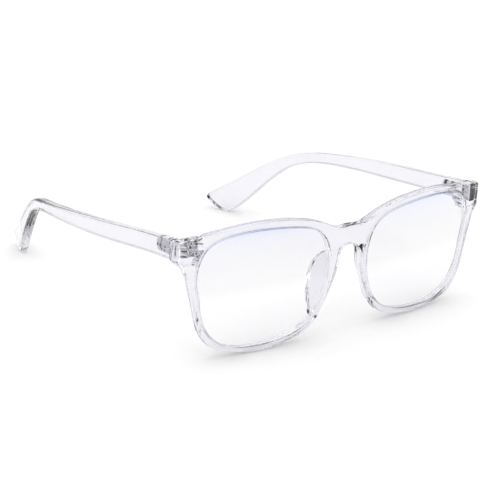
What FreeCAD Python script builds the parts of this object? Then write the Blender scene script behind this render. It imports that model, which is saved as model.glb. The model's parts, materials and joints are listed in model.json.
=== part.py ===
"""Clear blue light glasses: a moulded front with two coated lenses, two temples and two metal hinges.

Everything is in millimetres.  +Z is up, the front faces -Y, and +X is the wearer's left.  The glasses
stand on their lower rims and on the tips of their temples, with the origin at the middle of the
rectangle that they stand on.
"""
import FreeCAD, Part
import math
import os
from FreeCAD import Placement, Rotation, Vector

doc = FreeCAD.newDocument("blue_light_glasses")
SIDES = {"right": -1, "left": 1}          # the wearer's right is at -X
UP = Vector(0, 0, 1)
BACKWARDS = Vector(0, 1, 0)
SIDEWAYS = Vector(1, 0, 0)

# ---------------------------------------------------------------------------------------------
# Driving dimensions
# ---------------------------------------------------------------------------------------------
DIMENSIONS = {
    # the whole object
    "setback": 72.34,           # from the origin forward to the middle of the front
    "datum_height": 19.64,      # height of the front's own origin above the table
    "lean": 0.6,                # forward lean of the front, in degrees
    # front
    "lens_width": 54.8,
    "lens_height": 41.8,
    "lens_gap": 17.5,           # between the two lens openings
    "lens_rise": 3.55,          # lens centres above the front's own origin
    "wrap_radius": 405.0,
    "front_thickness": 3.6,
    "half_width": 70.8,         # half of the width over the endpieces
    "corner_radius": 2.6,       # where the front turns into the side of an endpiece
    "rim_top": 2.9,
    "rim_bottom": 2.3,
    "bridge_top": 20.75,
    "bridge_underside": 13.4,
    "edge_round": 0.95,
    "opening_round": 0.45,
    "back_round": 0.6,
    "joint_depth": 11.6,        # from the front's own origin back to the temple joints
    "endpiece_top": 24.4,
    "endpiece_bottom": 16.6,
    "endpiece_inset": 0.02,     # of the thick part inside the front's outline
    "endpiece_reach": 10.4,     # of the thick part inboard from the side of the front
    "endpiece_crown": 23.6,     # top of the thick part, below the brow in front of it
    "endpiece_foot": 15.0,      # bottom of the block that the thick part is cut from
    "endpiece_root": 1.2,       # of the thick part inside the curved slab
    "recess_play": 0.1,         # round a hinge leaf in its recess in the front
    "pad_root": 2.6,            # depths of the root and the free edge of a nose pad
    "pad_depth": 7.8,
    "pad_root_thickness": 1.4,
    "pad_edge_thickness": 2.0,
    # lens and its groove
    "lens_thickness": 2.0,
    "lens_setback": 0.9,        # rim face to lens face
    "groove_width": 1.0,
    "groove_depth": 0.6,
    "lens_play": 0.05,
    # hinge
    "hinge_inset": 5.3,         # outer face of the temple to the hinge axis
    "hinge_back": 0.7,          # joint plane to the hinge axis
    "hinge_height": 5.0,
    "hinge_rise": 39.8,         # middle of the hinge above the table
    "knuckle_radius": 1.3,
    "knuckle_gap": 0.06,
    "leaf_thickness": 0.75,
    "front_leaf_reach": 4.4,
    "temple_leaf_reach": 9.4,
    "leaf_clear": 1.45,         # radius kept clear round the other leaf's knuckles
    "leaf_gap": 0.02,           # between a leaf and the face that it is screwed to
    "front_screw_reach": 2.9,
    "front_screw_rise": 1.25,   # the two screws of a front leaf above and below its middle
    "temple_screw_near": 3.3,
    "temple_screw_far": 7.5,
    "pin_radius": 0.6,
    "pin_play": 0.03,
    "pin_head_radius": 1.05,
    "pin_head_height": 0.5,
    "screw_radius": 0.45,
    "screw_length": 2.6,
    "screw_head_radius": 0.85,
    "screw_head_height": 0.35,
    "screw_play": 0.05,         # round a screw in its leaf
    "pilot_play": 0.02,         # round a screw in the moulding
    "pilot_spare": 0.2,         # below the end of a screw
    # temple
    "temple_thickness": 3.8,
    "temple_gap": 0.2,          # at the joint with the endpiece
    "temple_round": 1.1,
}

sheet = doc.addObject("Spreadsheet::Sheet", "sizes")
for row, (alias, value) in enumerate(DIMENSIONS.items(), start=1):
    sheet.set(f"A{row}", alias)
    sheet.set(f"B{row}", str(value))
    sheet.setAlias(f"B{row}", alias)
doc.recompute()


def size(alias):
    """The value of a driving dimension, read back from the sheet."""
    return float(sheet.get(alias))


# ---------------------------------------------------------------------------------------------
# Shared helpers
# ---------------------------------------------------------------------------------------------
FACING_FRONT = Placement(Vector(), Rotation(Vector(1, 0, 0), 90))     # sketch x, y -> X, Z
FACING_SIDE = Placement(Vector(), Rotation(Vector(1, 1, 1), 120))      # sketch x, y -> Y, Z
FROM_ABOVE = Placement()                                              # sketch x, y -> X, Y
ARC_TOLERANCE = 0.05
AHEAD = "4"                 # how far a cutting block starts in front of the front's own origin
THROUGH = "20"              # how far it goes behind, past the deepest part of the front
TALL = "60"                 # taller and wider than any part of the glasses on one side of an axis


def smooth(points, closed=False):
    """A smooth curve through a few points in a sketch's own plane, laid down as tangent arcs."""
    curve = Part.BSplineCurve()
    curve.interpolate(Points=[Vector(x, y, 0) for x, y in points], PeriodicFlag=closed)
    return curve.toBiArcs(ARC_TOLERANCE)


def line(start, end):
    return Part.LineSegment(Vector(*start, 0), Vector(*end, 0))


def arc(start, middle, end):
    return Part.Arc(Vector(*start, 0), Vector(*middle, 0), Vector(*end, 0))


def free_sketch(name, placement, curves):
    """A sketch that stands on its own, for the Part workbench features."""
    sketch = doc.addObject("Sketcher::SketchObject", name)
    sketch.Placement = placement
    for curve in curves:
        sketch.addGeometry(curve, False)
    return sketch


def extrude(name, base, direction, forward, backward="0"):
    """A solid drawn both ways from a sketch, with its lengths bound to the sheet."""
    solid = doc.addObject("Part::Extrusion", name)
    solid.Base = base
    solid.DirMode = "Custom"
    solid.Dir = direction
    solid.setExpression("LengthFwd", forward)
    solid.setExpression("LengthRev", backward)
    solid.Solid = True
    return solid


def combine(kind, name, base, tool):
    """Part::Cut, Part::Common or Part::Fuse of two objects."""
    result = doc.addObject(kind, name)
    result.Base = base
    result.Tool = tool
    return result


def mirrored(points):
    """Points of a half outline from the middle outwards, made whole from -X to +X."""
    return [(-x, y) for x, y in reversed(points)] + [(x, y) for x, y in points if x > 0]


# ---------------------------------------------------------------------------------------------
# Front: outline seen from the front, and the curved slab that it is cut from
# ---------------------------------------------------------------------------------------------
FRONT_PLACE = Placement(
    Vector(0, -size("setback"), size("datum_height")), Rotation(Vector(1, 0, 0), size("lean")))
UPRIGHT = Placement(Vector(), Rotation(Vector(1, 0, 0), -size("lean")))

lens_x = (size("lens_gap") + size("lens_width")) / 2
lens_z = size("lens_rise")
half_lens = size("lens_width") / 2
half_height = size("lens_height") / 2
rim_top_z = lens_z + half_height + size("rim_top")
rim_bottom_z = lens_z - half_height - size("rim_bottom")
half_width = size("half_width")

# A lens outline as fractions of its half width and half height, from the outer side upwards.
LENS_SHAPE = [
    (0.988, 0.131), (0.989, 0.522), (0.886, 0.796), (0.576, 0.961), (-0.003, 0.994), (-0.527, 0.920),
    (-0.848, 0.752), (-0.984, 0.404), (-0.986, -0.038), (-0.873, -0.489), (-0.633, -0.805),
    (-0.307, -0.956), (0.065, -1.000), (0.435, -0.954), (0.750, -0.734), (0.923, -0.339),
]


def lens_outline(side):
    return [(side * (lens_x + half_lens * a), lens_z + half_height * b) for a, b in LENS_SHAPE]


def front_outline():
    """Brow and lower contour, each one smooth curve, joined by the flat ends of the endpieces."""
    brow = mirrored([
        (0.0, size("bridge_top")), (5.3, size("bridge_top") - 0.1),
        (10.6, rim_top_z - 4.7), (17.8, rim_top_z - 2.3), (27.0, rim_top_z - 0.6),
        (lens_x, rim_top_z), (46.3, rim_top_z - 0.2), (57.9, rim_top_z - 1.5),
        (half_width, size("endpiece_top"))])
    lower = mirrored([
        (0.0, size("bridge_underside")), (2.4, size("bridge_underside") - 0.4),
        (4.1, 11.6), (4.7, 8.6), (6.9, 0.7), (11.1, -7.8), (16.2, -14.7), (24.2, rim_bottom_z + 1.8),
        (lens_x, rim_bottom_z), (49.5, rim_bottom_z + 1.6), (57.4, -14.9),
        (61.5, -9.2), (63.8, -1.4), (66.1, 7.2), (68.0, 13.2),
        (half_width, size("endpiece_bottom"))])
    top = (half_width, size("endpiece_top"))
    bottom = (half_width, size("endpiece_bottom"))
    ends = [line((side * top[0], top[1]), (side * bottom[0], bottom[1])) for side in SIDES.values()]
    return smooth(brow) + smooth(lower) + ends


def wrap_point(radius, x):
    """A point at x on a circle about the wrap's axis."""
    centre = size("wrap_radius")
    return x, centre - math.sqrt(radius * radius - x * x)


def slab_plan():
    """The slab from above: two arcs about the wrap's axis, with turned corners and flat ends."""
    outer = size("wrap_radius")
    inner = outer - size("front_thickness")
    turn = size("corner_radius")
    turn_x = half_width - turn
    turn_y = wrap_point(outer - turn, turn_x)[1]
    slope = math.atan2(outer - turn_y, turn_x)
    tangent = (turn_x + turn * math.cos(slope), turn_y - turn * math.sin(slope))
    middle = (turn_x + turn * math.cos(slope / 2), turn_y - turn * math.sin(slope / 2))
    corner = (half_width, turn_y)
    back = wrap_point(inner, half_width)
    curves = [
        arc((-tangent[0], tangent[1]), wrap_point(outer, 0), tangent),
        arc((-back[0], back[1]), wrap_point(inner, 0), back)]
    for side in SIDES.values():
        curves.append(arc((side * tangent[0], tangent[1]), (side * middle[0], middle[1]),
                          (side * corner[0], corner[1])))
        curves.append(line((side * corner[0], corner[1]), (side * back[0], back[1])))
    return curves


def rounded(name, base, wires_of, radius):
    """A Part::Fillet of the edges in some of a shape's wires."""
    doc.recompute()
    chosen = [edge for wire in wires_of(base.Shape) for edge in wire.Edges]
    edges = base.Shape.Edges
    numbers = [n for n, edge in enumerate(edges, start=1) if any(edge.isSame(c) for c in chosen)]
    result = doc.addObject("Part::Fillet", name)
    result.Base = base
    result.Edges = [(n, radius, radius) for n in numbers]
    return result


def wrapped_face(shape, radius):
    """The largest face that lies on a circle of this radius about the wrap's axis."""
    faces = [f for f in shape.Faces
             if f.Surface.TypeId == "Part::GeomCylinder" and abs(f.Surface.Radius - radius) < 0.01]
    return max(faces, key=lambda face: face.Area)


def face_wires(shape, depth):
    """The wires of the slab's face at this depth: the two lens openings, then the outer outline."""
    return sorted(wrapped_face(shape, size("wrap_radius") - depth).Wires, key=lambda wire: wire.Length)


def boxed(name, low, high, place=Placement()):
    """A Part::Box between two corners, in the frame that the placement gives."""
    block = doc.addObject("Part::Box", name)
    block.Length, block.Width, block.Height = [top - bottom for bottom, top in zip(low, high)]
    block.Placement = place.multiply(Placement(Vector(*low), Rotation()))
    return block


def spread(side, near, far):
    """Two distances from the middle plane as a low and a high X on one side."""
    return sorted((side * near, side * far))


outline = free_sketch("front_outline", FACING_FRONT, front_outline())
plan = free_sketch("slab_plan", FROM_ABOVE, slab_plan())
outline_block = extrude("outline_block", outline, BACKWARDS, THROUGH, AHEAD)
slab = extrude("curved_slab", plan, UP, TALL, TALL)
front = combine("Part::Common", "front_band", outline_block, slab)
windows = {}
window_blocks = {}
for name, side in SIDES.items():
    opening = smooth(lens_outline(side), closed=True)
    windows[name] = free_sketch(f"lens_opening_{name}", FACING_FRONT, opening)
    window_blocks[name] = extrude(f"lens_window_{name}", windows[name], BACKWARDS, THROUGH, AHEAD)
    front = combine("Part::Cut", f"front_open_{name}", front, window_blocks[name])
ROUNDINGS = [               # (name, depth of the face, which of its wires, driving dimension)
    ("front_outline", 0.0, slice(2, 3), "edge_round"),
    ("front_openings", 0.0, slice(0, 2), "opening_round"),
    ("back_openings", size("front_thickness"), slice(0, 2), "opening_round"),
    ("back_outline", size("front_thickness"), slice(2, 3), "back_round"),
]
for name, depth, wires, radius in ROUNDINGS:
    front = rounded(f"{name}_rounded", front, lambda shape: face_wires(shape, depth)[wires], size(radius))


def endpiece_plan(side):
    """The thick part of an endpiece from above, from inside the slab back past the joint plane."""
    inside = size("wrap_radius") - size("front_thickness") + size("endpiece_root")
    inboard = half_width - size("endpiece_reach")
    outboard = half_width - size("endpiece_inset")
    near = wrap_point(inside, inboard)
    far = wrap_point(inside, outboard)
    between = wrap_point(inside, (inboard + outboard) / 2)
    back = size("joint_depth") + 2
    inboard_draft = 1.0
    corners = [far, (outboard, back), (inboard + inboard_draft, back), near]
    flat = [line((side * p[0], p[1]), (side * q[0], q[1])) for p, q in zip(corners, corners[1:])]
    return flat + [arc((side * near[0], near[1]), (side * between[0], between[1]), (side * far[0], far[1]))]


inner_outline = doc.addObject("Part::Offset2D", "endpiece_outline")
inner_outline.Source = outline
inner_outline.setExpression("Value", "-sizes.endpiece_inset")
inner_block = extrude("endpiece_block", inner_outline, BACKWARDS, THROUGH, AHEAD)
hinge_x = half_width - size("hinge_inset")
hinge_y = size("joint_depth") + size("hinge_back")
hinge_z = size("hinge_rise") - size("datum_height")
half_hinge = size("hinge_height") / 2
recess_play = size("recess_play")
PAST_THE_SIDE = 5.0         # of a cutting box, outboard, behind and above
for name, side in SIDES.items():
    plan = free_sketch(f"endpiece_plan_{name}", FROM_ABOVE, endpiece_plan(side))
    column = extrude(
        f"endpiece_column_{name}", plan, UP, "sizes.endpiece_crown", "-sizes.endpiece_foot")
    within = combine("Part::Common", f"endpiece_within_{name}", inner_block, column)
    thick = combine("Part::Cut", f"endpiece_{name}", within, window_blocks[name])
    front = combine("Part::Fuse", f"front_with_{name}_endpiece", front, thick)
    low_x, high_x = spread(side, lens_x, half_width + PAST_THE_SIDE)
    far_y, far_z = float(THROUGH) + PAST_THE_SIDE, size("endpiece_top") + PAST_THE_SIDE
    behind = boxed(f"behind_{name}_joint", (low_x, size("joint_depth"), 0), (high_x, far_y, far_z), UPRIGHT)
    front = combine("Part::Cut", f"front_faced_{name}", front, behind)
    inboard_end = hinge_x - size("front_leaf_reach") - recess_play
    low_x, high_x = spread(side, inboard_end, hinge_x + size("leaf_clear"))
    leaf_floor = hinge_y - size("leaf_clear")
    recess_top = hinge_z + half_hinge + size("pin_head_height") + recess_play
    recess = boxed(f"leaf_recess_{name}", (low_x, leaf_floor, hinge_z - half_hinge - recess_play),
                   (high_x, far_y, recess_top), UPRIGHT)
    front = combine("Part::Cut", f"front_recessed_{name}", front, recess)


# ---------------------------------------------------------------------------------------------
# Lenses, their grooves and the nose pads
# ---------------------------------------------------------------------------------------------
def shell(name, outer_depth, thickness):
    """A band between two arcs about the wrap's axis, this far behind the face of the rims."""
    parts = []
    for part, depth in (("outer", outer_depth), ("inner", outer_depth + thickness)):
        drum = doc.addObject("Part::Cylinder", f"{name}_{part}")
        drum.setExpression("Radius", f"sizes.wrap_radius - {depth}")
        drum.Height = 2 * float(TALL)
        drum.Placement = Placement(Vector(0, size("wrap_radius"), -float(TALL)), Rotation())
        parts.append(drum)
    return combine("Part::Cut", name, *parts)


def grown_block(name, window, growth):
    """The lens opening grown all round, drawn through the front."""
    grown = doc.addObject("Part::Offset2D", f"{name}_outline")
    grown.Source = window
    grown.setExpression("Value", growth)
    return extrude(name, grown, BACKWARDS, THROUGH, AHEAD)


plate_shell = shell("plate_shell", size("lens_setback"), size("lens_thickness"))
groove_start = size("lens_setback") + (size("lens_thickness") - size("groove_width")) / 2
groove_shell = shell("groove_shell", groove_start, size("groove_width"))
tongue_shell = shell(
    "tongue_shell", groove_start + size("lens_play"), size("groove_width") - 2 * size("lens_play"))
lenses = {}
for name in SIDES:
    window = windows[name]
    ring_block = grown_block(f"groove_block_{name}", window, "sizes.groove_depth")
    ring = combine("Part::Common", f"groove_{name}", ring_block, groove_shell)
    front = combine("Part::Cut", f"front_grooved_{name}", front, ring)
    plate_block = grown_block(f"plate_block_{name}", window, "-sizes.lens_play")
    plate = combine("Part::Common", f"lens_plate_{name}", plate_block, plate_shell)
    tongue_block = grown_block(f"tongue_block_{name}", window, "sizes.groove_depth - sizes.lens_play")
    tongue = combine("Part::Common", f"lens_tongue_{name}", tongue_block, tongue_shell)
    lenses[name] = combine("Part::Fuse", f"lens_body_{name}", plate, tongue)

# Nose pads.  Each is a leaf between a curved root in the rim and a nearly upright free edge, drawn as
# (across, up) at three heights on its nose side.
PAD_ROOT = [(4.6, 12.9), (7.4, 0.0), (14.5, -12.6)]
PAD_EDGE = [(11.2, 12.9), (12.5, 0.0), (13.4, -12.6)]
# A pad from the side, as (depth behind the front's own origin, up).
PAD_LEAF = [
    (size("pad_root"), 11.9), (4.6, 11.6), (size("pad_depth") - 1.4, 9.4), (size("pad_depth") - 0.2, 5.4),
    (size("pad_depth"), 0.0), (size("pad_depth") - 0.4, -4.4), (size("pad_depth") - 1.6, -7.8),
    (5.0, -10.4), (size("pad_root"), -11.8)]
PAD_SPARE = 0.5             # of a pad's blade past the leaf that is cut from it


def pad_section(name, side, depth, nose_side, thickness):
    """The outline of a nose pad in a plane at one depth."""
    lens_side = [(x + thickness, z) for x, z in nose_side]
    near = [(side * x, z) for x, z in nose_side]
    far = [(side * x, z) for x, z in lens_side]
    plane = Placement(Vector(0, depth, 0), FACING_FRONT.Rotation)
    sides = [arc(*near), line(near[2], far[2]), arc(*reversed(far)), line(far[0], near[0])]
    return free_sketch(name, plane, sides)


pad_side = free_sketch("pad_profile", FACING_SIDE, smooth(PAD_LEAF) + [line(PAD_LEAF[-1], PAD_LEAF[0])])
pad_block = extrude("pad_block", pad_side, SIDEWAYS, TALL, TALL)
for name, side in SIDES.items():
    blade = doc.addObject("Part::Loft", f"pad_blade_{name}")
    edge_depth = size("pad_depth") + PAD_SPARE
    blade.Sections = [
        pad_section(f"pad_root_{name}", side, size("pad_root"), PAD_ROOT, size("pad_root_thickness")),
        pad_section(f"pad_edge_{name}", side, edge_depth, PAD_EDGE, size("pad_edge_thickness"))]
    blade.Solid = True
    blade.Ruled = True
    leaf = combine("Part::Common", f"nose_pad_{name}", blade, pad_block)
    front = combine("Part::Fuse", f"front_with_{name}_pad", front, leaf)

# ---------------------------------------------------------------------------------------------
# Temples: a profile from the side and a band from above, cut from each other
# ---------------------------------------------------------------------------------------------
TEMPLE_FRONT = -(size("hinge_back") - size("temple_gap"))    # all measured back from the hinge axis
TEMPLE_PROFILE = [
    (TEMPLE_FRONT, 43.6), (24.4, 41.2), (60.0, 37.4), (82.3, 34.4), (92.0, 32.2), (104.0, 26.4),
    (114.0, 19.5), (124.0, 12.2), (131.0, 7.2), (132.6, 5.2), (130.6, 3.0), (126.6, 0.75), (123.0, 0.06),
    (119.5, 2.1), (111.6, 10.1), (102.6, 19.5), (94.4, 26.0), (86.0, 29.1), (71.7, 31.0), (45.6, 32.6),
    (18.6, 34.8), (TEMPLE_FRONT, 36.2)]
TEMPLE_BOW = [(0.0, -2.0), (0.0, 3.5), (0.0, 9.0), (1.1, 29.0), (1.5, 55.0), (-0.5, 76.0), (-5.8, 95.5),
              (-12.4, 113.0), (-21.2, 134.0)]    # outwards from its start, back from the hinge axis


def temple_plan(side):
    """The band that a temple is cut from, seen from above, about its own hinge axis."""
    centre = Part.BSplineCurve()
    middle = size("hinge_inset") - size("temple_thickness") / 2
    centre.interpolate(Points=[Vector(middle + x, y, 0) for x, y in TEMPLE_BOW])
    edges = []
    for offset in (size("temple_thickness") / 2, -size("temple_thickness") / 2):
        points = []
        for x, y in TEMPLE_BOW:
            at = centre.parameter(Vector(middle + x, y, 0))
            along = centre.tangent(at)[0]
            points.append((side * (middle + x + offset * along.y), y - offset * along.x))
        edges.append(points)
    outer, inner = edges
    closing = [line(outer[0], inner[0]), line(outer[-1], inner[-1])]
    return smooth(outer) + smooth(inner) + closing


def seen_from_above(face):
    """Whether a face belongs to the band, whose arcs stand about upright axes."""
    return face.Surface.TypeId == "Part::GeomCylinder" and abs(face.Surface.Axis.z) > 0.9


def seen_from_side(face):
    """Whether a face belongs to the profile: an arc about a sideways axis, or a sloping flat."""
    axis = face.Surface.Axis
    if face.Surface.TypeId == "Part::GeomCylinder":
        return abs(axis.x) > 0.9
    return abs(axis.z) > 0.3


def long_edges(shape):
    """The edges where a temple's outer and inner faces meet its profile."""
    chosen = []
    for edge in shape.Edges:
        faces = shape.ancestorsOfType(edge, Part.Face)
        if any(seen_from_above(f) for f in faces) and any(seen_from_side(f) for f in faces):
            chosen.append(edge)
    return [Part.Compound(chosen)]


temples = {}
temple_side = free_sketch("temple_profile", FACING_SIDE,
                          smooth(TEMPLE_PROFILE) + [line(TEMPLE_PROFILE[-1], TEMPLE_PROFILE[0])])
temple_block = extrude("temple_profile_block", temple_side, SIDEWAYS, TALL, TALL)
for name, side in SIDES.items():
    plan = free_sketch(f"temple_plan_{name}", FROM_ABOVE, temple_plan(side))
    band = extrude(f"temple_band_{name}", plan, UP, TALL, TALL)
    bare = combine("Part::Common", f"temple_bare_{name}", temple_block, band)
    temples[name] = rounded(f"temple_round_{name}", bare, long_edges, size("temple_round"))

# ---------------------------------------------------------------------------------------------
# Hinges.  Each piece is drawn about the hinge axis at the middle of the hinge.
# ---------------------------------------------------------------------------------------------
KNUCKLES = 5                # the front leaf has the first, third and fifth, the temple leaf the rest
knuckle_pitch = (size("hinge_height") + size("knuckle_gap")) / KNUCKLES
leaf_seat = size("leaf_clear") - size("leaf_gap")
LEAF_CORNERS = {"front": 0.5, "temple": 1.6}      # radii at the far end of each leaf
LEAF_START = {"front": 0.0, "temple": -0.4}       # of each plate, from the hinge axis
CUT_THROUGH = 30            # longer than any hinge piece
# The screws of each leaf, as (reach from the hinge axis, rise above the middle).
LEAF_SCREWS = {
    ("front", "upper"): (size("front_screw_reach"), size("front_screw_rise")),
    ("front", "lower"): (size("front_screw_reach"), -size("front_screw_rise")),
    ("temple", "near"): (size("temple_screw_near"), 0.0),
    ("temple", "far"): (size("temple_screw_far"), 0.0),
}


def origin_plane(body, role):
    return next(feature for feature in body.Origin.OriginFeatures if feature.Role == role)


def body_sketch(body, name, role, curves, offset=0.0):
    """A sketch on one of a body's own origin planes."""
    sketch = body.newObject("Sketcher::SketchObject", name)
    sketch.AttachmentSupport = [(origin_plane(body, role), "")]
    sketch.MapMode = "FlatFace"
    sketch.AttachmentOffset = Placement(Vector(0, 0, offset), Rotation())
    for curve in curves:
        sketch.addGeometry(curve, False)
    return sketch


def circle(x, y, radius):
    return Part.Circle(Vector(x, y, 0), UP, radius)


def rectangle(low, high):
    corners = [low, (high[0], low[1]), high, (low[0], high[1]), low]
    return [line(p, q) for p, q in zip(corners, corners[1:])]


def rounded_plate(near, far, half_high, corner):
    """A plate that is square at its near end and has rounded corners at its far end."""
    way = math.copysign(1, far - near)
    inner = far - way * corner
    skew = corner * math.sqrt(0.5)
    curves = [line((near, -half_high), (near, half_high)),
              line((far, corner - half_high), (far, half_high - corner))]
    for up in (1, -1):
        edge = up * half_high
        curves.append(line((near, edge), (inner, edge)))
        bend = (inner + way * skew, edge - up * (corner - skew))
        curves.append(arc((inner, edge), bend, (far, edge - up * corner)))
    return curves


def pad(body, name, sketch, length, kind="One side", backwards=False):
    feature = body.newObject("PartDesign::Pad", name)
    feature.Profile = sketch
    feature.SideType = kind
    feature.Reversed = backwards
    feature.setExpression("Length", length)
    return feature


def pocket_through(body, name, sketch):
    """A cut both ways through a body, checked by its volume."""
    doc.recompute()
    before = body.Shape.Volume
    feature = body.newObject("PartDesign::Pocket", name)
    feature.Profile = sketch
    feature.SideType = "Symmetric"
    feature.Type = "Length"
    feature.Length = CUT_THROUGH
    doc.recompute()
    if body.Shape.Volume > before - 1e-4:
        raise RuntimeError(f"{name} cuts nothing")


def knuckle_slots(low, high, skipped):
    """Rectangles that clear the other leaf's knuckles, as (across, up) in a side plane."""
    half = size("hinge_height") / 2
    rectangles = []
    for number in skipped:
        bottom = -half + number * knuckle_pitch - size("knuckle_gap")
        top = bottom + knuckle_pitch + size("knuckle_gap")
        rectangles += rectangle((low, bottom), (high, top))
    return rectangles


def hinge_leaf(name, side, on_front):
    """A leaf with its knuckles: a plate on one moulding and barrels about the pivot screw."""
    body = doc.addObject("PartDesign::Body", name)
    kind = "front" if on_front else "temple"
    role = "XZ_Plane" if on_front else "YZ_Plane"
    way = -side if on_front else 1
    skipped = (1, 3) if on_front else (0, 2, 4)
    plate_start = leaf_seat - size("leaf_thickness")
    half_high = size("hinge_height") / 2
    reach = size(f"{kind}_leaf_reach")
    outline = rounded_plate(LEAF_START[kind], way * reach, half_high, LEAF_CORNERS[kind])
    outline += [circle(way * along, rise, size("screw_radius") + size("screw_play"))
                for (leaf, _), (along, rise) in LEAF_SCREWS.items() if leaf == kind]
    offset = plate_start if on_front else side * plate_start
    plate = body_sketch(body, f"{name}_plate_outline", role, outline, offset)
    pad(body, f"{name}_plate", plate, "sizes.leaf_thickness", backwards=not on_front and side < 0)
    ring = body_sketch(body, f"{name}_barrel_outline", "XY_Plane", [circle(0, 0, size("knuckle_radius"))])
    pad(body, f"{name}_barrel", ring, "sizes.hinge_height", "Symmetric")
    clear = size("leaf_clear")
    past = 2 * clear
    low, high = sorted((-side * clear, side * past)) if on_front else (-past, clear)
    slots = body_sketch(body, f"{name}_slots", role, knuckle_slots(low, high, skipped))
    pocket_through(body, f"{name}_knuckle_gaps", slots)
    bore = body_sketch(body, f"{name}_bore_outline", "XY_Plane",
                       [circle(0, 0, size("pin_radius") + size("pin_play"))])
    pocket_through(body, f"{name}_bore", bore)
    return body


# A screw's shape, as shares of its shank radius, head radius and head height.
POINT_FLAT, POINT_RISE = 0.8, 0.4
CROWN_FLAT, CROWN_OUT, CROWN_UP = 0.72, 0.93, 0.72
SLOT_HALF_WIDTH, SLOT_HALF_LENGTH, SLOT_DEPTH = 0.14, 1.2, 0.55


def slotted_screw(name, shank_radius, shank_end, head_radius, head_start, head_height):
    """A screw about its own Z axis: a turned head and shank, with a slot across the head."""
    body = doc.addObject("PartDesign::Body", name)
    top = head_start + head_height
    flat = shank_radius * POINT_FLAT
    shoulder = shank_end + shank_radius * POINT_RISE
    brim = head_radius * CROWN_FLAT
    crown = (head_radius * CROWN_OUT, head_start + head_height * CROWN_UP)
    profile = [
        line((0, shank_end), (flat, shank_end)),
        line((flat, shank_end), (shank_radius, shoulder)),
        line((shank_radius, shoulder), (shank_radius, head_start)),
        line((shank_radius, head_start), (head_radius, head_start)),
        arc((head_radius, head_start), crown, (brim, top)),
        line((brim, top), (0, top)),
        line((0, top), (0, shank_end))]
    sketch = body_sketch(body, f"{name}_profile", "XZ_Plane", profile)
    turned = body.newObject("PartDesign::Revolution", f"{name}_turned")
    turned.Profile = sketch
    turned.ReferenceAxis = (sketch, ["V_Axis"])
    turned.Angle = 360
    half_slot = head_radius * SLOT_HALF_WIDTH
    reach = head_radius * SLOT_HALF_LENGTH
    across = body_sketch(body, f"{name}_slot_outline", "XY_Plane",
                         rectangle((-reach, -half_slot), (reach, half_slot)), top)
    doc.recompute()
    before = body.Shape.Volume
    groove = body.newObject("PartDesign::Pocket", f"{name}_slot")
    groove.Profile = across
    groove.Length = head_height * SLOT_DEPTH
    doc.recompute()
    if body.Shape.Volume > before - 1e-4:
        raise RuntimeError(f"{name} has no slot")
    return body


sub_parts = {}


def keep(label, shape_object, place):
    """Name a finished sub-part and put it in its place."""
    shape_object.Label = label
    shape_object.Placement = place
    sub_parts[label] = shape_object


def screw_places(side):
    """Where the four leaf screws of a hinge sit, about its middle, with +Z out of each head."""
    head_seat = leaf_seat - size("leaf_thickness")
    places = {}
    for (leaf, level), (reach, rise) in LEAF_SCREWS.items():
        if leaf == "front":
            spot, outwards = Vector(-side * reach, -head_seat, rise), Vector(0, 1, 0)
        else:
            spot, outwards = Vector(side * head_seat, reach, rise), Vector(-side, 0, 0)
        places[leaf, level] = Placement(spot, Rotation(UP, outwards))
    return places


def pilot_hole(name, place):
    """The hole that a leaf screw makes in the moulding behind its leaf."""
    hole = doc.addObject("Part::Cylinder", name)
    hole.setExpression("Radius", "sizes.screw_radius + sizes.pilot_play")
    hole.setExpression("Height", "sizes.screw_length + sizes.pilot_spare")
    deep = Placement(Vector(0, 0, -size("screw_length") - size("pilot_spare")), Rotation())
    hole.Placement = place.multiply(deep)
    return hole


rise = size("hinge_rise")
for name, side in SIDES.items():
    middle = Placement(Vector(side * hinge_x, hinge_y - size("setback"), rise), Rotation())
    middle_in_front = UPRIGHT.multiply(Placement(Vector(side * hinge_x, hinge_y, hinge_z), Rotation()))
    middle_in_temple = Placement(Vector(0, 0, rise), Rotation())
    keep(f"hinge_front_leaf_{name}", hinge_leaf(f"front_leaf_{name}", side, True), middle)
    keep(f"hinge_temple_leaf_{name}", hinge_leaf(f"temple_leaf_{name}", side, False), middle)
    half = size("hinge_height") / 2
    pivot = slotted_screw(f"pivot_{name}", size("pin_radius"), -half, size("pin_head_radius"), half,
                          size("pin_head_height"))
    keep(f"hinge_screw_{name}", pivot, middle)
    for (leaf, level), place in screw_places(side).items():
        label = f"{leaf}_leaf_screw_{level}_{name}"
        screw = slotted_screw(f"screw_{leaf}_{level}_{name}", size("screw_radius"), -size("screw_length"),
                              size("screw_head_radius"), 0.0, size("screw_head_height"))
        keep(label, screw, middle.multiply(place))
        if leaf == "front":
            hole = pilot_hole(f"pilot_{label}", middle_in_front.multiply(place))
            front = combine("Part::Cut", f"front_drilled_{level}_{name}", front, hole)
        else:
            hole = pilot_hole(f"pilot_{label}", middle_in_temple.multiply(place))
            temples[name] = combine("Part::Cut", f"temple_drilled_{level}_{name}", temples[name], hole)

keep("front_frame", front, FRONT_PLACE)
for name, side in SIDES.items():
    keep(f"lens_{name}", lenses[name], FRONT_PLACE)
    keep(f"temple_{name}", temples[name],
         Placement(Vector(side * hinge_x, hinge_y - size("setback"), 0), Rotation()))

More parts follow.
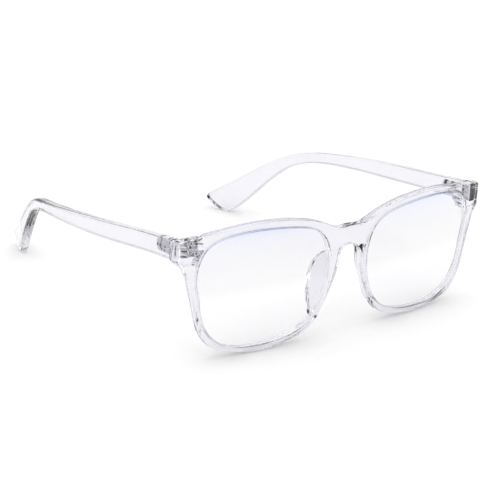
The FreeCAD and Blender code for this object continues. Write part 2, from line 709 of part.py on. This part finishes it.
# ---------------------------------------------------------------------------------------------
# Check every object, then write the sub-parts
# ---------------------------------------------------------------------------------------------
doc.recompute()
for thing in doc.Objects:
    if "Invalid" in thing.State or "Error" in thing.State:
        raise RuntimeError(f"{thing.Label}: {thing.State}")
os.makedirs("parts", exist_ok=True)
whole = FreeCAD.BoundBox()
for label, thing in sorted(sub_parts.items()):
    shape = thing.Shape
    if shape.isNull() or not shape.isValid() or len(shape.Solids) != 1:
        raise RuntimeError(f"{label} is not one valid solid")
    shape.exportStep(f"parts/{label}.step")
    whole.add(shape.BoundBox)
    print(f"{label}: {shape.Volume:.1f} mm3")
print(f"box: {whole.XMin:.2f} {whole.YMin:.2f} {whole.ZMin:.2f} to "
      f"{whole.XMax:.2f} {whole.YMax:.2f} {whole.ZMax:.2f}")
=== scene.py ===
"""Clear blue light glasses on a white studio sweep: materials, floor, lights and camera."""

import json
import math

import bpy
from mathutils import Matrix, Vector

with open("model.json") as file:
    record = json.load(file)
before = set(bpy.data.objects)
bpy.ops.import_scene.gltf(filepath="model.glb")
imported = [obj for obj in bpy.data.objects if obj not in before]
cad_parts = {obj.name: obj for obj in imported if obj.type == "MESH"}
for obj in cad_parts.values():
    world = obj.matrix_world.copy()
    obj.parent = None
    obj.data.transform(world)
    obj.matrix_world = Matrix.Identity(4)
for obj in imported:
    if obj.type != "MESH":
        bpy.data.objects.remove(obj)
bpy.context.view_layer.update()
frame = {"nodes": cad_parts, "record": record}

MM = 0.001
scene = bpy.context.scene


def fill_ramp(color_ramp, stops):
    """Gives a colour ramp its stops, each a position and a colour, from the lowest position up."""
    elements = color_ramp.elements
    while len(elements) < len(stops):
        elements.new(0.5)
    for element, (position, colour) in zip(elements, stops):
        element.position = position
        element.color = (*colour, 1)


# ------------------------------------------------------------------------------------------------
# Materials
# Noise scales are in cells per metre, and bump heights in metres.
# ------------------------------------------------------------------------------------------------
class Graph:
    """A material's node graph, with short ways to add and link nodes."""

    def __init__(self, name):
        self.material = bpy.data.materials.new(name)
        self.material.use_nodes = True
        self.tree = self.material.node_tree
        self.tree.nodes.clear()
        self.output = self.tree.nodes.new("ShaderNodeOutputMaterial")
        self.shader = self.tree.nodes.new("ShaderNodeBsdfPrincipled")
        self.link(self.shader, "BSDF", self.output, "Surface")
        self.coordinates = self.tree.nodes.new("ShaderNodeTexCoord")

    def link(self, source, output, target, socket):
        self.tree.links.new(source.outputs[output], target.inputs[socket])

    def set(self, **sockets):
        """Sets the shader's own sockets; an underscore in a name stands for a space."""
        for name, value in sockets.items():
            self.shader.inputs[name.replace("_", " ")].default_value = value

    def noise(self, scale, detail, roughness=0.5, stretch=(1, 1, 1)):
        mapping = self.tree.nodes.new("ShaderNodeMapping")
        mapping.inputs["Scale"].default_value = stretch
        self.link(self.coordinates, "Object", mapping, "Vector")
        node = self.tree.nodes.new("ShaderNodeTexNoise")
        node.inputs["Scale"].default_value = scale
        node.inputs["Detail"].default_value = detail
        node.inputs["Roughness"].default_value = roughness
        self.link(mapping, "Vector", node, "Vector")
        return node

    def ramp(self, source, stops, socket=None, output="Fac"):
        node = self.tree.nodes.new("ShaderNodeValToRGB")
        fill_ramp(node.color_ramp, stops)
        self.link(source, output, node, "Fac")
        if socket:
            self.link(node, "Color", self.shader, socket)
        return node

    def roughness(self, source, low, high):
        node = self.tree.nodes.new("ShaderNodeMapRange")
        node.inputs["To Min"].default_value = low
        node.inputs["To Max"].default_value = high
        self.link(source, "Fac", node, "Value")
        self.link(node, "Result", self.shader, "Roughness")

    def bump(self, source, height, strength, under=None):
        node = self.tree.nodes.new("ShaderNodeBump")
        node.inputs["Distance"].default_value = height
        node.inputs["Strength"].default_value = strength
        self.link(source, "Fac", node, "Height")
        if under:
            self.link(under, "Normal", node, "Normal")
        self.link(node, "Normal", self.shader, "Normal")
        return node


def clear_plastic():
    """Clear moulded plastic with a faint lavender cast, a slight ripple and a fine grain."""
    deep_lavender = (0.830, 0.823, 0.866)
    pale_lavender = (0.861, 0.854, 0.898)
    g = Graph("clear_plastic_finish")
    g.set(Transmission_Weight=1.0, IOR=1.42)
    tint = g.noise(scale=60, detail=3.0)
    g.ramp(tint, [(0.3, deep_lavender), (0.7, pale_lavender)], "Base Color")
    haze = g.noise(scale=900, detail=5.0)
    g.roughness(haze, low=0.015, high=0.05)
    ripple = g.noise(scale=140, detail=2.0)
    grain = g.noise(scale=2600, detail=3.0)
    rippled = g.bump(ripple, height=0.00004, strength=0.5)
    g.bump(grain, height=0.000002, strength=0.3, under=rippled)
    return g.material


def coated_lens():
    """Clear lens with a blue coat whose base colour by height is painted light: lighter near the
    bottom, with a painted blue coat reflection deepening towards its top edge.
    """
    painted_ramp_starts = 0.020
    lens_top = 0.0443
    # Colour by height: painted light keeps the bottom lighter, and a painted blue reflection of
    # the coat deepens near the top edge.
    painted_light_and_sheen_by_height = [
        (0.0, (0.985, 0.985, 0.980)),
        (0.2, (0.920, 0.919, 0.917)),
        (0.5, (0.893, 0.891, 0.893)),
        (0.85, (0.862, 0.868, 0.908)),
        (0.96, (0.80, 0.825, 0.925)),
        (1.0, (0.68, 0.74, 0.94)),
    ]
    g = Graph("coated_lens_finish")
    g.set(Transmission_Weight=1.0, IOR=1.16)
    g.set(Coat_Weight=0.2, Coat_Roughness=0.02, Coat_IOR=1.5, Coat_Tint=(0.97, 0.97, 1.0, 1))
    split = g.tree.nodes.new("ShaderNodeSeparateXYZ")
    g.link(g.coordinates, "Object", split, "Vector")
    height = g.tree.nodes.new("ShaderNodeMapRange")
    height.inputs["From Min"].default_value = painted_ramp_starts
    height.inputs["From Max"].default_value = lens_top
    g.link(split, "Z", height, "Value")
    # The height ramp paints the lighter bottom and the blue coat reflection into the base colour.
    g.ramp(height, painted_light_and_sheen_by_height, "Base Color", output="Result")
    smear = g.noise(scale=420, detail=6.0, stretch=(1, 1, 0.3))
    g.roughness(smear, low=0.0, high=0.02)
    wave = g.noise(scale=90, detail=2.0)
    g.bump(wave, height=0.00001, strength=0.2)
    return g.material


def screw_steel():
    """Dark turned steel, with fine level brush marks."""
    dark_steel = (0.10, 0.10, 0.11)
    pale_steel = (0.34, 0.34, 0.36)
    g = Graph("screw_metal_finish")
    g.set(Metallic=1.0)
    tone = g.noise(scale=900, detail=5.0, roughness=0.65)
    g.ramp(tone, [(0.36, dark_steel), (0.62, pale_steel)], "Base Color")
    brushed = g.noise(scale=3600, detail=6.0, stretch=(1, 1, 10))
    g.roughness(brushed, low=0.15, high=0.35)
    g.bump(brushed, height=0.00002, strength=0.7)
    return g.material


def hinge_silver():
    """Bright nickel silver, with slanting grip serrations whose grooves carry painted shade and
    whose crests carry a painted highlight, and small dark pits of painted shade.
    """
    # The groove colour is painted shade in the serration grooves; the crest colour is a painted
    # highlight on their crests.
    painted_groove_shade = (0.22, 0.22, 0.24)
    flank = (0.88, 0.88, 0.89)
    painted_crest_highlight = (0.99, 0.99, 0.99)
    # The pit colour is painted shade for small pit spots; the white beside it leaves the rest
    # unshaded.
    pit_shade_colour = (0.07, 0.07, 0.08)
    unshaded_white = (1.0, 1.0, 1.0)
    g = Graph("hinge_metal_finish")
    g.set(Metallic=1.0)
    hatch = g.tree.nodes.new("ShaderNodeTexWave")
    hatch.bands_direction = "DIAGONAL"
    hatch.inputs["Scale"].default_value = 640
    hatch.inputs["Distortion"].default_value = 4.0
    hatch.inputs["Detail"].default_value = 3.0
    hatch.inputs["Detail Scale"].default_value = 1.3
    g.link(g.coordinates, "Object", hatch, "Vector")
    # Serration colour: painted shade in the grooves, painted highlight on the crests.
    serration_shade_and_highlight = g.ramp(hatch, [(0.05, painted_groove_shade), (0.18, flank), (0.5, painted_crest_highlight)])
    # Painted shade: noise picks small pit spots and darkens them.
    pit_shade_noise = g.noise(scale=520, detail=2.0)
    pit_shade_ramp = g.ramp(pit_shade_noise, [(0.38, pit_shade_colour), (0.44, unshaded_white)])
    # Multiplies the painted pit shade into the serration colour.
    mix = g.tree.nodes.new("ShaderNodeMix")
    mix.data_type = "RGBA"
    mix.blend_type = "MULTIPLY"
    mix.inputs["Factor"].default_value = 1.0
    g.link(serration_shade_and_highlight, "Color", mix, "A")
    g.link(pit_shade_ramp, "Color", mix, "B")
    colour = next(socket for socket in mix.outputs if socket.type == "RGBA")
    g.tree.links.new(colour, g.shader.inputs["Base Color"])
    brushed = g.noise(scale=2500, detail=6.0, stretch=(1, 1, 10))
    g.roughness(brushed, low=0.16, high=0.4)
    teeth = g.bump(hatch, height=0.00015, strength=0.8)
    g.bump(brushed, height=0.00002, strength=0.7, under=teeth)
    return g.material


FINISHES = {
    "clear_plastic": clear_plastic(),
    "coated_lens": coated_lens(),
    "hinge_metal": hinge_silver(),
    "screw_metal": screw_steel(),
}
for node in frame["record"]["subparts"]:
    obj = frame["nodes"][node["node"]]
    for slot in obj.material_slots:
        slot.material = FINISHES[node["material_slot"]]

# ------------------------------------------------------------------------------------------------
# Floor: white paper, a hair below the glasses and wide enough to fill low views
# ------------------------------------------------------------------------------------------------
FLOOR_HALF = 14.0
FLOOR_DROP = 0.00005
PAPER_DARK = (0.93, 0.93, 0.93)
PAPER_PALE = (0.95, 0.95, 0.95)

floor_mesh = bpy.data.meshes.new("studio_floor")
corners = [(-FLOOR_HALF, -FLOOR_HALF, 0), (FLOOR_HALF, -FLOOR_HALF, 0),
           (FLOOR_HALF, FLOOR_HALF, 0), (-FLOOR_HALF, FLOOR_HALF, 0)]
floor_mesh.from_pydata(corners, [], [(0, 1, 2, 3)])
floor = bpy.data.objects.new("studio_floor", floor_mesh)
floor.location.z = -FLOOR_DROP
scene.collection.objects.link(floor)
paper = Graph("studio_floor_finish")
paper.set(Roughness=0.9, Specular_IOR_Level=0.1)
fibre = paper.noise(scale=300, detail=4.0)
paper.ramp(fibre, [(0.3, PAPER_DARK), (0.7, PAPER_PALE)], "Base Color")
floor_mesh.materials.append(paper.material)

# ------------------------------------------------------------------------------------------------
# Lights: a pale sky that dims towards the horizon, and two softboxes
# ------------------------------------------------------------------------------------------------
SKY_STRENGTH = 1.08
SKY_GREYS = [(0.0, 0.66), (0.35, 0.9), (1.0, 1.0)]
FOOTPRINT_MIDDLE = Vector((0, 0, 0))

world = bpy.data.worlds.new("studio")
scene.world = world
world.use_nodes = True
sky = world.node_tree
background = sky.nodes["Background"]
background.inputs["Strength"].default_value = SKY_STRENGTH
direction = sky.nodes.new("ShaderNodeTexCoord")
split = sky.nodes.new("ShaderNodeSeparateXYZ")
sky.links.new(direction.outputs["Generated"], split.inputs["Vector"])
fade = sky.nodes.new("ShaderNodeValToRGB")
fill_ramp(fade.color_ramp, [(height, (grey, grey, grey)) for height, grey in SKY_GREYS])
sky.links.new(split.outputs["Z"], fade.inputs["Fac"])
sky.links.new(fade.outputs["Color"], background.inputs["Color"])


def softbox(name, place, width, height, watts):
    """A rectangular light aimed at the middle of the footprint."""
    data = bpy.data.lights.new(name, "AREA")
    data.shape = "RECTANGLE"
    data.size = width
    data.size_y = height
    data.energy = watts
    light = bpy.data.objects.new(name, data)
    light.location = place
    light.rotation_euler = (FOOTPRINT_MIDDLE - Vector(place)).to_track_quat("-Z", "Y").to_euler()
    scene.collection.objects.link(light)


softbox("overhead_softbox", place=(0.0, 0.0, 2.0), width=2.4, height=0.6, watts=6.0)
softbox("left_softbox", place=(-1.2, -0.6, 0.7), width=0.8, height=0.8, watts=1.6)

# ------------------------------------------------------------------------------------------------
# Camera
# ------------------------------------------------------------------------------------------------
AIM = Vector((0.418, -16.054, 14.279)) * MM
DISTANCE = 619.643 * MM
AZIMUTH = math.radians(-39.575)
ELEVATION = math.radians(18.832)
ROLL = math.radians(2.890)
FOCAL_LENGTH_MM = 116.615
SENSOR_WIDTH_MM = 36
CLIP_START = 0.01

towards_camera = Vector((
    math.sin(AZIMUTH) * math.cos(ELEVATION),
    -math.cos(AZIMUTH) * math.cos(ELEVATION),
    math.sin(ELEVATION),
))
level_right = (-towards_camera).cross(Vector((0, 0, 1))).normalized()
level_up = level_right.cross(-towards_camera)
right = level_right * math.cos(ROLL) + level_up * math.sin(ROLL)
up = level_up * math.cos(ROLL) - level_right * math.sin(ROLL)
camera_data = bpy.data.cameras.new("camera")
camera_data.sensor_width = SENSOR_WIDTH_MM
camera_data.lens = FOCAL_LENGTH_MM
camera_data.clip_start = CLIP_START
camera = bpy.data.objects.new("camera", camera_data)
turn = Matrix((right, up, towards_camera)).transposed().to_4x4()
camera.matrix_world = Matrix.Translation(AIM + towards_camera * DISTANCE) @ turn
scene.collection.objects.link(camera)
scene.camera = camera
scene.view_settings.view_transform = "Standard"
